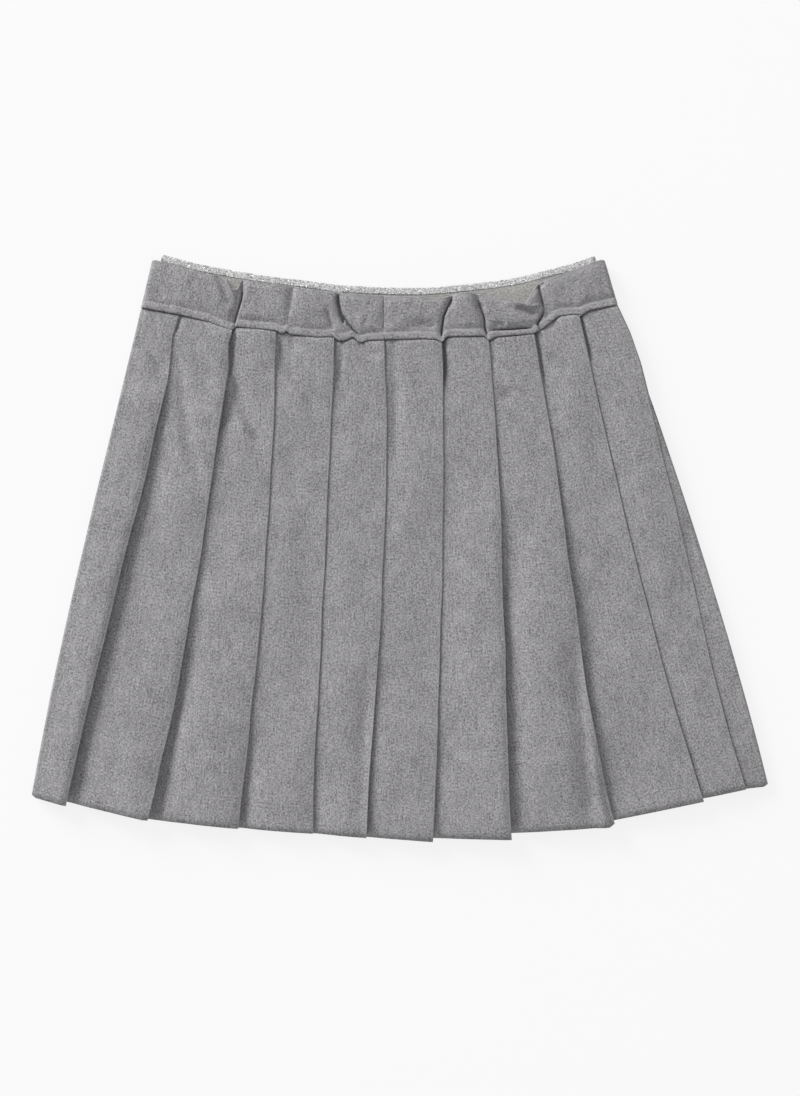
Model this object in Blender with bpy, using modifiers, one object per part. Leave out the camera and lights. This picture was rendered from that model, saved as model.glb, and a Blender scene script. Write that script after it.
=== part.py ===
"""A child's knife-pleated skirt with an elasticated waist, laid flat with its front up.

The sizes are in millimetres and become metres in the meshes. +X is the viewer's right, +Y the waist,
+Z up from the surface that the skirt lies on. Each pleated half is one zigzag wall of cloth: a panel,
its outer fold, the underlay beneath it and the hidden fold that starts the next panel.
"""
import math
from collections import namedtuple

import bmesh
import bpy

MM = 0.001
NAME = "pleated_skirt"

# Thickness of the cloths, and the distances between layers
CLOTH = 1.0
BAND_CLOTH = 1.6
ELASTIC = 1.0
LAYER = 1.5
SEAM_GAP = 0.3

# Heights of the layers, at the middle of each wall
BACK_FACE = CLOTH / 2
BACK_HIDDEN = BACK_FACE + 2 * LAYER
FRONT_HIDDEN = BACK_HIDDEN + CLOTH + SEAM_GAP
SIDE_TURN = (FRONT_HIDDEN - BACK_FACE - SEAM_GAP) / 2

# Knife pleats: cloth taken by one pleat, and how far the underlay may reach beneath its panel
TAKE = 70.0
LEAST_UNDERLAY = 5.0
UNDERLAY_SHARE = 0.5
FIRST_RISE = 0.3
PRESSED_RISE = 8.0
ROLL_START = 0.35
BACK_FOLDS = 10
BACK_HEM_RISE = 1.5

# Rows and spans of the walls
HEM_ROWS = 7
OUTER_SPANS = 4
INNER_SPANS = 3
TURN_SPANS = 3
BAND_FRONT_SPANS = 84
BAND_BACK_SPANS = 24
BAND_TURN_SPANS = 4
ELASTIC_FRONT_SPANS = 42
ELASTIC_BACK_SPANS = 20

# Waistband and elastic, at the middle of each wall
BAND_BACK_Z = BAND_CLOTH / 2
ELASTIC_BACK_Z = BAND_CLOTH + SEAM_GAP + ELASTIC / 2
WAIST_SLACK = 0.6
ELASTIC_FRONT_Z = ELASTIC_BACK_Z + ELASTIC + WAIST_SLACK
BAND_FRONT_Z = ELASTIC_FRONT_Z + (ELASTIC + BAND_CLOTH) / 2 + SEAM_GAP
BAND_TURN = 2.6
ELASTIC_TURN = 0.8
ELASTIC_INSET = 6.5
ELASTIC_FOOT = 9.0
RIM = 0.6
BACK_BAND_DROP = 2.0
BACK_SAG = 21.0

# The outer folds of the front from left to right, between its two sides. Each row gives the fold at
# the waist seam, a third and two thirds of the way down, and at the hem, where the next panel's hem
# starts, and how far the fold rolls up off the cloth beneath.
Fold = namedtuple("Fold", "seam_x seam_y upper_x lower_x hem_x hem_y next_y roll")
FRONT = (
    Fold(-160.0, 148.5, -184.1, -207.5, -227.5, -153.5, -153.5, 0.0),
    Fold(-136.4, 144.2, -157.7, -182.9, -206.5, -159.0, -156.9, 3.0),
    Fold(-103.5, 135.4, -117.4, -133.8, -155.6, -168.3, -167.7, 2.4),
    Fold(-76.6, 133.4, -80.7, -88.7, -100.1, -173.3, -173.0, 0.9),
    Fold(-40.7, 129.9, -45.0, -49.9, -54.3, -176.4, -176.2, 0.7),
    Fold(-9.9, 128.4, -9.0, -14.4, -21.1, -178.9, -178.5, 0.9),
    Fold(25.7, 127.4, 26.4, 24.2, 20.2, -181.4, -179.2, 1.1),
    Fold(54.6, 128.7, 61.8, 65.0, 68.5, -180.1, -176.4, 2.0),
    Fold(82.5, 132.6, 98.9, 112.7, 132.1, -172.1, -168.3, 3.0),
    Fold(110.4, 143.5, 133.3, 157.9, 187.6, -156.6, -154.7, 1.4),
    Fold(133.3, 149.7, 163.7, 187.1, 213.7, -149.1, -148.8, 0.8),
    Fold(134.5, 150.3, 168.9, 200.4, 227.5, -147.3, -147.3, 0.0),
)

# Top edge of the front waistband, with the dip at the left and the flap at the right
Edge = namedtuple("Edge", "x y")
BAND_TOP = (
    Edge(-153.1, 178.3),
    Edge(-125.9, 170.8),
    Edge(-108.0, 167.4),
    Edge(-102.3, 160.2),
    Edge(-97.0, 165.0),
    Edge(-78.7, 162.8),
    Edge(-44.6, 158.4),
    Edge(-9.9, 155.3),
    Edge(22.9, 154.1),
    Edge(37.8, 157.8),
    Edge(48.4, 157.2),
    Edge(59.5, 152.8),
    Edge(74.4, 150.4),
    Edge(81.2, 156.4),
    Edge(92.4, 167.1),
    Edge(109.7, 173.9),
    Edge(126.5, 178.3),
)

# Top edge of the elastic inside the back of the waist, seen above the front
ELASTIC_TOP = (
    Edge(-147.0, 181.4),
    Edge(-102.3, 171.4),
    Edge(-62.0, 165.9),
    Edge(-1.2, 161.0),
    Edge(59.5, 165.2),
    Edge(90.0, 171.4),
    Edge(119.0, 180.1),
)

# Gathers of the front waistband: each crease at the top edge and at the seam, and how far the cloth
# puffs up between it and the next
Gather = namedtuple("Gather", "top_x foot_x puff")
GATHERS = (
    Gather(-153.1, -160.0, 1.3),
    Gather(-99.0, -103.5, 1.5),
    Gather(-66.0, -70.1, 1.0),
    Gather(-38.4, -30.0, 1.8),
    Gather(-10.0, -10.0, 1.3),
    Gather(32.2, 25.7, 1.2),
    Gather(47.0, 53.0, 1.9),
    Gather(83.0, 86.0, 2.4),
    Gather(109.0, 110.4, 1.4),
    Gather(126.5, 134.5, 0.0),
)

# Rows of the waistband from its top edge down: share of the puff, and the lift of the seam ridge
BandRow = namedtuple("BandRow", "down puff lift")
BAND_ROWS = (
    BandRow(0.00, 0.35, 0.0),
    BandRow(0.12, 0.85, 0.0),
    BandRow(0.35, 1.00, 0.2),
    BandRow(0.60, 0.90, 0.5),
    BandRow(0.80, 0.40, 0.7),
    BandRow(0.88, 0.15, 1.9),
    BandRow(0.94, 0.12, 2.1),
    BandRow(1.00, 0.12, 2.1),
)
ELASTIC_ROWS = 3

# Colours in linear values, and roughness
Finish = namedtuple("Finish", "colour roughness metallic")
FINISHES = {
    "skirt_front": Finish((0.30, 0.30, 0.31), 0.9, 0.0),
    "skirt_back": Finish((0.27, 0.27, 0.28), 0.9, 0.0),
    "waistband": Finish((0.29, 0.29, 0.30), 0.9, 0.0),
    "waist_elastic": Finish((0.52, 0.51, 0.48), 0.7, 0.1),
}


def mix(a, b, share):
    """The value a share of the way from a to b."""
    return a + (b - a) * share


def smooth(share):
    """Eases 0 to 1, and holds still outside."""
    share = min(max(share, 0.0), 1.0)
    return share * share * (3 - 2 * share)


def station(fold, down):
    """The fold's x a share of the way down, on one smooth curve through its four places."""
    thirds = 3 * down
    return (
        fold.seam_x * (1 - thirds) * (2 - thirds) * (3 - thirds) / 6
        + fold.upper_x * thirds * (2 - thirds) * (3 - thirds) / 2
        + fold.lower_x * thirds * (thirds - 1) * (3 - thirds) / 2
        + fold.hem_x * thirds * (thirds - 1) * (thirds - 2) / 6
    )


def straight(points, x):
    """The y of a line through (x, y) points, carried on straight past its ends."""
    k = 1
    while k < len(points) - 1 and x > points[k][0]:
        k += 1
    (x0, y0), (x1, y1) = points[k - 1], points[k]
    return mix(y0, y1, (x - x0) / (x1 - x0))


def eased(points, x):
    """The y of a curve that eases from point to point."""
    if x <= points[0].x:
        return points[0].y
    for a, b in zip(points, points[1:]):
        if x <= b.x:
            share = (x - a.x) / (b.x - a.x)
            return mix(a.y, b.y, mix(share, smooth(share), 0.5))
    return points[-1].y


def seam_line(x, front=1.0):
    """The y of the waist seam at any x: through the folds in front, one even sag behind."""
    share = (x - FRONT[0].seam_x) / (FRONT[-1].seam_x - FRONT[0].seam_x)
    sides = mix(FRONT[0].seam_y, FRONT[-1].seam_y, share)
    behind = sides - 4 * BACK_SAG * share * (1 - share)
    return mix(behind, straight([(fold.seam_x, fold.seam_y) for fold in FRONT], x), front)


def turned_over(folds):
    """The two sides of the front as the back's own viewer sees them, with even folds between."""
    left = folds[-1]._replace(
        seam_x=-folds[-1].seam_x,
        upper_x=-folds[-1].upper_x,
        lower_x=-folds[-1].lower_x,
        hem_x=-folds[-1].hem_x,
    )
    right = folds[0]._replace(
        seam_x=-folds[0].seam_x,
        upper_x=-folds[0].upper_x,
        lower_x=-folds[0].lower_x,
        hem_x=-folds[0].hem_x,
    )
    hem = sorted((-f.hem_x, f.hem_y) for f in folds)
    rows = [left]
    for k in range(1, BACK_FOLDS + 1):
        share = k / (BACK_FOLDS + 1)
        seam_x = mix(left.seam_x, right.seam_x, share)
        hem_x = mix(left.hem_x, right.hem_x, share)
        hem_y = straight(hem, hem_x) + BACK_HEM_RISE
        rows.append(
            Fold(
                seam_x,
                seam_line(-seam_x, 0.0),
                mix(left.upper_x, right.upper_x, share),
                mix(left.lower_x, right.lower_x, share),
                hem_x,
                hem_y,
                hem_y,
                0.0,
            )
        )
    rows.append(right)
    return rows


def underlay(visible):
    """How far the underlay reaches back beneath a panel that shows this much."""
    return max(LEAST_UNDERLAY, min((TAKE - visible) / 2, UNDERLAY_SHARE * visible))


def arc(centre_x, centre_z, radius_x, radius_z, start, end, spans):
    """Points on an arc between two angles in degrees, without its first point."""
    points = []
    for k in range(1, spans + 1):
        angle = math.radians(mix(start, end, k / spans))
        points.append((centre_x + radius_x * math.cos(angle), centre_z + radius_z * math.sin(angle)))
    return points


def section(folds, down, pressed):
    """The cut across a pleated half: (x, z, panel) from its left side to its right.

    A pressed half has its visible panels level, and an unpressed one lets each panel climb slowly
    from the fold before it to its own.
    """
    xs = [station(fold, down) for fold in folds]
    last = len(folds) - 1
    top = 2 * LAYER
    side = top if pressed else 0.0
    turn = SIDE_TURN
    points = [(xs[0], side - turn, 1)]
    for x, z in arc(xs[0] + turn, side - turn, turn, turn, 180, 90, TURN_SPANS)[:-1]:
        points.append((x, z, 1))
    start = xs[0] + turn
    for k in range(1, last + 1):
        visible = xs[k] - xs[k - 1]
        reach = underlay(visible)
        roll = folds[k].roll * smooth(down / ROLL_START)
        radius = (LAYER + roll) / 2
        end = xs[k] - (radius if k < last else turn)
        level = (k == 1 and pressed) or (k == last and not pressed)
        if level:
            rise = mix(start, end, 1 / 3)
            crest = mix(start, end, 2 / 3)
        else:
            rise = max(start + FIRST_RISE, xs[k - 1])
            crest = rise + PRESSED_RISE if pressed else xs[k] - reach - 1.0
        low = side if level else 0.0
        high = side if level else top
        for x in (start, rise, mix(rise, crest, 1 / 3), mix(rise, crest, 2 / 3), crest, end):
            climb = mix(low, high, smooth((x - rise) / (crest - rise)))
            lift = roll * max(0.0, (x - rise) / (end - rise)) ** 2
            points.append((x, climb + lift, k))
        if k == last:
            break
        for x, z in arc(end, LAYER + radius, radius, radius, 90, -90, OUTER_SPANS):
            points.append((x, z, k))
        inner = LAYER / 2
        start = xs[k] - reach + inner
        points.append((start, LAYER, k + 1))
        for x, z in arc(start, inner, inner, inner, 90, 270, INNER_SPANS)[:-1]:
            points.append((x, z, k + 1))
    for x, z in arc(xs[-1] - turn, side - turn, turn, turn, 90, 0, TURN_SPANS):
        points.append((x, z, last))
    return points


def hem_line(folds, panel, x):
    """The y of a panel's hem, carried on straight beneath the panel before it."""
    a, b = folds[panel - 1], folds[panel]
    return mix(a.next_y, b.hem_y, (x - a.hem_x) / (b.hem_x - a.hem_x))


def wall_object(name, columns, rows, place, thickness, closed=False):
    """A grid moved by place(column, row) and given its thickness; a closed one is a ring."""
    form = bmesh.new()
    bmesh.ops.create_grid(form, x_segments=columns, y_segments=rows, size=1.0)
    for vertex in form.verts:
        column = round((vertex.co.x + 1) / 2 * columns)
        row = round((1 - vertex.co.y) / 2 * rows)
        vertex.co = [MM * value for value in place(column, row)]
    if closed:
        bmesh.ops.remove_doubles(form, verts=form.verts, dist=0.000001)
    mesh = bpy.data.meshes.new(name)
    form.to_mesh(mesh)
    form.free()
    finish = FINISHES[name]
    material = bpy.data.materials.new(name)
    material.use_nodes = True
    shader = material.node_tree.nodes["Principled BSDF"]
    shader.inputs["Base Color"].default_value = (*finish.colour, 1.0)
    shader.inputs["Roughness"].default_value = finish.roughness
    shader.inputs["Metallic"].default_value = finish.metallic
    mesh.materials.append(material)
    mesh.shade_smooth()
    mesh.set_sharp_from_angle(angle=math.radians(50))
    wall = bpy.data.objects.new(name, mesh)
    bpy.data.collections[NAME].objects.link(wall)
    solid = wall.modifiers.new("wall", "SOLIDIFY")
    solid.thickness = thickness * MM
    solid.offset = 0.0
    solid.use_even_offset = True
    solid.use_quality_normals = True
    return wall


def pleated_half(name, folds, pressed):
    """One half of the pleated cloth, from the waist seam to the hem."""
    sections = [section(folds, row / HEM_ROWS, pressed) for row in range(HEM_ROWS + 1)]

    def place(column, row):
        down = row / HEM_ROWS
        x, z, _ = sections[row][column]
        seam_x = sections[0][column][0]
        seam_y = (seam_line(-seam_x, 0.0) if pressed else seam_line(seam_x)) - SEAM_GAP / 2
        hem_x, _, panel = sections[HEM_ROWS][column]
        y = mix(seam_y, hem_line(folds, panel, hem_x), down)
        if pressed:
            return -x, y, BACK_HIDDEN - z
        return x, y, FRONT_HIDDEN + z

    return wall_object(name, len(sections[0]) - 1, HEM_ROWS, place, CLOTH)


def ring_column(column, front_spans, back_spans, turn_spans):
    """Where a column of a flattened ring lies: (share across, sideways turn, share of the front)."""
    if column <= front_spans:
        return column / front_spans, 0.0, 1.0
    column -= front_spans
    if column <= turn_spans:
        angle = math.pi * column / turn_spans
        return 1.0, math.sin(angle), (1 + math.cos(angle)) / 2
    column -= turn_spans
    if column <= back_spans:
        return 1.0 - column / back_spans, 0.0, 0.0
    column -= back_spans
    angle = math.pi * column / turn_spans
    return 0.0, -math.sin(angle), (1 - math.cos(angle)) / 2


def puff(x, down):
    """How far the front of the waistband puffs up between its gathers."""
    for a, b in zip(GATHERS, GATHERS[1:]):
        left = mix(a.top_x, a.foot_x, down)
        right = mix(b.top_x, b.foot_x, down)
        if left <= x <= right:
            return a.puff * math.sin(math.pi * (x - left) / (right - left)) ** 0.7
    return 0.0


def waistband():
    """The grey band all round the waist, from its top edge to the raised ridge along the seam."""

    def place(column, row):
        across, turn, front = ring_column(column, BAND_FRONT_SPANS, BAND_BACK_SPANS, BAND_TURN_SPANS)
        part = BAND_ROWS[row]
        top_x = mix(BAND_TOP[0].x + BAND_TURN, BAND_TOP[-1].x - BAND_TURN, across)
        foot_x = mix(FRONT[0].seam_x + BAND_TURN, FRONT[-1].seam_x - BAND_TURN, across)
        x = mix(top_x, foot_x, part.down)
        top_y = mix(eased(ELASTIC_TOP, top_x) - BACK_BAND_DROP, eased(BAND_TOP, top_x), front)
        side = BAND_TURN * turn
        y = mix(top_y, seam_line(foot_x + side, front) + SEAM_GAP / 2, part.down)
        front_z = BAND_FRONT_Z + part.lift + part.puff * puff(x, part.down)
        return x + side, y, mix(BAND_BACK_Z, front_z, front)

    columns = BAND_FRONT_SPANS + BAND_BACK_SPANS + 2 * BAND_TURN_SPANS
    return wall_object("waistband", columns, len(BAND_ROWS) - 1, place, BAND_CLOTH, closed=True)


def waist_elastic():
    """The wide elastic inside the band, which stands above the front along the back of the waist."""

    def place(column, row):
        across, turn, front = ring_column(
            column, ELASTIC_FRONT_SPANS, ELASTIC_BACK_SPANS, BAND_TURN_SPANS
        )
        down = row / ELASTIC_ROWS
        top_x = mix(BAND_TOP[0].x + ELASTIC_INSET, BAND_TOP[-1].x - ELASTIC_INSET, across)
        foot_x = mix(FRONT[0].seam_x + ELASTIC_INSET, FRONT[-1].seam_x - ELASTIC_INSET, across)
        x = mix(top_x, foot_x, down)
        top_y = mix(eased(ELASTIC_TOP, top_x), eased(BAND_TOP, top_x) + RIM, front)
        y = mix(top_y, seam_line(foot_x, front) + ELASTIC_FOOT, down)
        return x + ELASTIC_TURN * turn, y, mix(ELASTIC_BACK_Z, ELASTIC_FRONT_Z, front)

    columns = ELASTIC_FRONT_SPANS + ELASTIC_BACK_SPANS + 2 * BAND_TURN_SPANS
    return wall_object("waist_elastic", columns, ELASTIC_ROWS, place, ELASTIC, closed=True)


def clear_scene():
    """Removes what a new file holds."""
    for thing in list(bpy.data.objects):
        bpy.data.objects.remove(thing, do_unlink=True)


def build_skirt():
    """Makes every piece of the skirt in its own collection."""
    clear_scene()
    bpy.context.scene.collection.children.link(bpy.data.collections.new(NAME))
    pleated_half("skirt_front", FRONT, pressed=False)
    pleated_half("skirt_back", turned_over(FRONT), pressed=True)
    waistband()
    waist_elastic()


build_skirt()
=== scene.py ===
# %% [markdown]
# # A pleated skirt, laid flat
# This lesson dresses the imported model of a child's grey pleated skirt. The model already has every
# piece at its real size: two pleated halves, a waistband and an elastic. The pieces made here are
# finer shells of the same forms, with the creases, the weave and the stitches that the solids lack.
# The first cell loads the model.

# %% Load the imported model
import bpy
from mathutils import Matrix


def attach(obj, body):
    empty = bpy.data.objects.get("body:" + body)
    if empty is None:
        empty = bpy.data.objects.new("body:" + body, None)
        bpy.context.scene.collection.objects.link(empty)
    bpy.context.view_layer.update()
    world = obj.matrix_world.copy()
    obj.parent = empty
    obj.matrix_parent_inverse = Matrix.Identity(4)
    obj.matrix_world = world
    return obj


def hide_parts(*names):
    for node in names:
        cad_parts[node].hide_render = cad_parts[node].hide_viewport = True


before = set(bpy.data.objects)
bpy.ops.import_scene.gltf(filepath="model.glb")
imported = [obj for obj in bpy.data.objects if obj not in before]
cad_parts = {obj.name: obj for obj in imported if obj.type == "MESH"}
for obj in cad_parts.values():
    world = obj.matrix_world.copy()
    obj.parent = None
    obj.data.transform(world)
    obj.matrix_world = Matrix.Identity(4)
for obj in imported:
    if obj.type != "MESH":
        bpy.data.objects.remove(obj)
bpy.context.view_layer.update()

# %% [markdown]
# Everything below is worked out in millimetres, because cloth is thought of in millimetres, and
# becomes metres when the points go into a mesh. Numpy holds a whole sheet of points as one table of
# rows down the skirt and columns across it, so that one line of code moves all of them.

# %% Tools and units
import math
from collections import namedtuple

import bmesh
import bpy
import numpy as np
from mathutils import Vector, noise

MM = 0.001
BODY = "root"


def mix(a, b, share):
    """The value a share of the way from a to b."""
    return a + (b - a) * share


def smooth(share):
    """Eases 0 to 1, and holds still outside."""
    share = np.clip(share, 0.0, 1.0)
    return share * share * (3 - 2 * share)


# %% [markdown]
# Three jobs come up again and again, so each has a helper: to put an object into the scene, to turn
# a finished bmesh into one, and to begin a material. A new material comes with a Principled BSDF,
# which can stand for cloth, thread, paper and metal, so the helper only sets its inputs by name.

# %% Helpers for objects and materials
def placed(name, data):
    """A new object in the scene that holds the data."""
    made = bpy.data.objects.new(name, data)
    bpy.context.scene.collection.objects.link(made)
    return made


def finished(name, form, material):
    """A new object with the mesh of a finished bmesh, smoothly shaded."""
    mesh = bpy.data.meshes.new(name)
    form.to_mesh(mesh)
    form.free()
    mesh.materials.append(material)
    mesh.shade_smooth()
    return placed(name, mesh)


def new_material(name, settings):
    """A new material with its shader's inputs set by name, its node tree and its shader."""
    material = bpy.data.materials.new(name)
    material.use_nodes = True
    shader = material.node_tree.nodes["Principled BSDF"]
    for label, value in settings.items():
        shader.inputs[label].default_value = value
    return material, material.node_tree, shader


# %% [markdown]
# ## Camera, light and floor
# The picture was taken from straight above, so the camera looks straight down through a long lens,
# which keeps the sides of the skirt from leaning. Its height follows from how much must be seen.
# The picture is 800 by 1096 pixels, and one pixel is 0.62 mm on the cloth.

# %% The camera over the middle of the skirt
PIXEL = 0.62
PHOTO_TALL = 1096
LENS, SENSOR = 85.0, 36.0
view_tall = PHOTO_TALL * PIXEL * MM
camera = placed("camera", bpy.data.cameras.new("camera"))
camera.data.lens = LENS
camera.data.sensor_width = SENSOR
camera.location = (0, 0, view_tall * LENS / SENSOR)
camera.data.clip_start = 0.05
bpy.context.scene.camera = camera
bpy.context.scene.view_settings.view_transform = "Standard"
print("camera height", round(camera.location.z, 3), "m")

# %% [markdown]
# The light in the picture is a soft studio light: the floor is almost white and has hardly a shadow,
# but the folds have a darker strip on their right. One lamp overhead would give no strips, and one
# strong side lamp would give hard shadows. So a wide lamp stands low at the upper left, a weak one
# fills from the other side, and an even pale world does most of the work. The floor glows a little,
# like paper on a light table, so that the skirt's own shadow hardly darkens it.

# %% Lamps, world and floor
Lamp = namedtuple("Lamp", "name place size watts")
LAMPS = (
    Lamp("key", (-3.7, 3.7, 2.15), 2.6, 385.0),
    Lamp("fill", (1.8, -1.0, 3.2), 3.2, 12.0),
)
WORLD_STRENGTH = 0.57
FLOOR_SIDE, FLOOR_TONE, FLOOR_GLOW = 6.0, 0.11, 0.82
for lamp in LAMPS:
    light = bpy.data.lights.new(lamp.name, "AREA")
    light.size = lamp.size
    light.energy = lamp.watts
    shown = placed(lamp.name, light)
    shown.location = lamp.place
    shown.rotation_euler = (-Vector(lamp.place)).to_track_quat("-Z", "Y").to_euler()
world = bpy.data.worlds.new("studio")
world.use_nodes = True
backdrop = world.node_tree.nodes["Background"]
backdrop.inputs["Color"].default_value = (1.0, 1.0, 1.0, 1.0)
backdrop.inputs["Strength"].default_value = WORLD_STRENGTH
bpy.context.scene.world = world

paper, _, _ = new_material(
    "paper",
    {
        "Base Color": (FLOOR_TONE, FLOOR_TONE, FLOOR_TONE, 1),
        "Roughness": 0.9,
        "Emission Color": (1, 1, 1, 1),
        "Emission Strength": FLOOR_GLOW,
    },
)
floor_form = bmesh.new()
bmesh.ops.create_grid(floor_form, x_segments=1, y_segments=1, size=FLOOR_SIDE / 2)
floor = finished("floor", floor_form, paper)
print(len(LAMPS), "lamps over a floor", FLOOR_SIDE, "m wide")

# %% [markdown]
# ## The cloth's finish
# The flannel is heathered: light and dark wool are carded together before the yarn is spun, so the
# cloth is a grey full of tiny light and dark flecks, brushed until the weave hardly shows. A shader
# node group mixes noise of several sizes along the cloth's own coordinates, stretched a little along
# the threads, and puts out a colour and a height. It is built once and used by the skirt and the
# band with their own values.

# %% A helper for node groups
def group_with(name, inputs, outputs):
    """A shader node group with named inputs and outputs, and its first and last nodes."""
    group = bpy.data.node_groups.new(name, "ShaderNodeTree")
    for label, kind, value in inputs:
        socket = group.interface.new_socket(name=label, in_out="INPUT", socket_type=kind)
        if value is not None:
            socket.default_value = value
    for label, kind in outputs:
        group.interface.new_socket(name=label, in_out="OUTPUT", socket_type=kind)
    return group, group.nodes.new("NodeGroupInput"), group.nodes.new("NodeGroupOutput")


def add(tree, kind, links=(), **values):
    """A node with its settings, and its inputs set to values or linked from sockets."""
    node = tree.nodes.new(kind)
    for key, value in values.items():
        setattr(node, key, value)
    for socket, source in links:
        if isinstance(source, bpy.types.NodeSocket):
            tree.links.new(source, node.inputs[socket])
        else:
            node.inputs[socket].default_value = source
    return node


def maths(tree, operation, a, b, clamp=False):
    """What a Math node makes of two sockets or numbers."""
    made = add(tree, "ShaderNodeMath", [(0, a), (1, b)], operation=operation, use_clamp=clamp)
    return made.outputs[0]


def blended(tree, share, a, b, how="MIX"):
    """The colour that a Mix node makes of two colours."""
    links = [(0, share), (6, a), (7, b)]
    return add(tree, "ShaderNodeMix", links, data_type="RGBA", blend_type=how).outputs[2]


# %% The heather group
Speck = namedtuple("Speck", "label stretch scale detail rough weight")
SPECKS = (
    Speck("fleck", (1.0, 0.85, 1.0), 940.0, 2.0, 0.6, 2.4),
    Speck("yarn down", (1.0, 0.06, 1.0), 1500.0, 1.0, 0.5, 0.7),
    Speck("yarn across", (0.12, 1.0, 1.0), 1500.0, 1.0, 0.5, 0.35),
    Speck("slub", (1.0, 0.5, 1.0), 320.0, 2.0, 0.6, 0.5),
    Speck("cloud", (1.0, 1.0, 1.0), 70.0, 2.0, 0.5, 0.4),
)
TINT_SCALE, TINT_FROM, TINT_TO = 900.0, 0.35, 0.65
ROSE_TINT, GREEN_TINT = (1.04, 0.982, 1.035, 1), (0.962, 1.012, 0.97, 1)


def heather_group():
    """Flecks of light and dark wool: a colour, and a height for the bump."""
    group, start, end = group_with(
        "heather",
        (
            ("Cloth", "NodeSocketVector", None),
            ("Dark", "NodeSocketColor", (0.16, 0.16, 0.165, 1)),
            ("Light", "NodeSocketColor", (0.45, 0.45, 0.46, 1)),
            ("Contrast", "NodeSocketFloat", 1.0),
        ),
        (("Color", "NodeSocketColor"), ("Height", "NodeSocketFloat")),
    )
    cloth = start.outputs["Cloth"]
    total = 0.0
    for speck in SPECKS:
        links = [("Vector", cloth), ("Scale", speck.stretch)]
        stretched = add(group, "ShaderNodeMapping", links, label=speck.label)
        pattern = add(
            group,
            "ShaderNodeTexNoise",
            [
                ("Vector", stretched.outputs[0]),
                ("Scale", speck.scale),
                ("Detail", speck.detail),
                ("Roughness", speck.rough),
            ],
            label=speck.label,
        )
        part = maths(group, "SUBTRACT", pattern.outputs[0], 0.5)
        total = maths(group, "ADD", total, maths(group, "MULTIPLY", part, speck.weight))
    strong = maths(group, "MULTIPLY", total, start.outputs["Contrast"])
    centred = maths(group, "ADD", strong, 0.5, clamp=True)
    colour = blended(group, centred, start.outputs["Dark"], start.outputs["Light"])
    links = [("Vector", cloth), ("Scale", TINT_SCALE), ("Detail", 1.0)]
    shades = add(group, "ShaderNodeTexNoise", links, label="tint")
    links = [(0, shades.outputs[0]), (1, TINT_FROM), (2, TINT_TO)]
    spread = add(group, "ShaderNodeMapRange", links, label="spread")
    tint = blended(group, spread.outputs[0], ROSE_TINT, GREEN_TINT)
    group.links.new(blended(group, 1.0, colour, tint, "MULTIPLY"), end.inputs["Color"])
    group.links.new(centred, end.inputs["Height"])
    return group


HEATHER = heather_group()
print("heather group has", len(HEATHER.nodes), "nodes")

# %% [markdown]
# Ironed folds catch the light, and here that light is painted: the colour along each crease turns
# paler than the face beside it, a painted highlight. On the cloth's own map every fold lies a fixed
# length of cloth from the last, so one repeated distance finds them all. The group puts out a mask
# that is 1 on a fold and 0 away from it.

# %% The painted fold highlight group
TAKE = 70.0


def painted_fold_highlight_group():
    """A mask for the painted highlight along each ironed fold."""
    group, start, end = group_with(
        "pressed edge",
        (
            ("Cloth", "NodeSocketVector", None),
            ("Width", "NodeSocketFloat", 0.0015),
        ),
        (("Mask", "NodeSocketFloat"),),
    )
    parts = add(group, "ShaderNodeSeparateXYZ", [(0, start.outputs["Cloth"])])
    pleats = maths(group, "DIVIDE", parts.outputs[0], TAKE * MM)
    near = maths(group, "PINGPONG", pleats, 0.5)
    away = maths(group, "MULTIPLY", near, TAKE * MM)
    share = maths(group, "DIVIDE", away, start.outputs["Width"])
    group.links.new(maths(group, "SUBTRACT", 1.0, share, clamp=True), end.inputs["Mask"])
    return group


PAINTED_FOLD_HIGHLIGHT = painted_fold_highlight_group()
print("a fold every", TAKE, "mm of cloth")

# %% [markdown]
# The material itself holds the shader. Wool has no gloss, but its raised fibres catch light at a low
# angle, which the sheen gives. The pattern is read from the cloth's own map, in metres of cloth, so
# that the flecks keep their size and follow each pleat as it fans out.

# %% The flannel material
def dressed(tree, shader, colour, height, strength, distance):
    """Gives a shader its colour, and a bump from a height."""
    links = [("Strength", strength), ("Distance", distance), ("Height", height)]
    bump = add(tree, "ShaderNodeBump", links)
    tree.links.new(colour, shader.inputs["Base Color"])
    tree.links.new(bump.outputs[0], shader.inputs["Normal"])


def flannel(name, light, contrast, pressed):
    """Brushed heathered wool on the piece's own cloth map, with a painted highlight along pressed
    folds.
    """
    material, tree, shader = new_material(
        name,
        {"Roughness": 0.92, "Specular IOR Level": 0.15, "Sheen Weight": 0.12, "Sheen Roughness": 0.5},
    )
    cloth = add(tree, "ShaderNodeUVMap", uv_map="cloth").outputs[0]
    dark, light = (*DARK_WOOL, 1), (*light, 1)
    links = [("Cloth", cloth), ("Dark", dark), ("Light", light), ("Contrast", contrast)]
    flecks = add(tree, "ShaderNodeGroup", links, node_tree=HEATHER)
    colour = flecks.outputs["Color"]
    # pressed sets the strength of a painted highlight: the colour turns paler along each fold.
    if pressed:
        edge = add(tree, "ShaderNodeGroup", [("Cloth", cloth)], node_tree=PAINTED_FOLD_HIGHLIGHT)
        strength = maths(tree, "MULTIPLY", edge.outputs["Mask"], pressed)
        colour = blended(tree, strength, colour, light)
    dressed(tree, shader, colour, flecks.outputs["Height"], 0.35, 0.0003)
    return material


DARK_WOOL = (0.125, 0.122, 0.127)
# The skirt's folds carry a painted highlight, and the band's carry none.
SKIRT_FLANNEL = flannel("grey_flannel", light=(0.40, 0.393, 0.404), contrast=0.93, pressed=0.4)
BAND_FLANNEL = flannel("band_flannel", light=(0.40, 0.392, 0.401), contrast=0.98, pressed=0.0)
print("flannels:", SKIRT_FLANNEL.name, BAND_FLANNEL.name)

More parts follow.
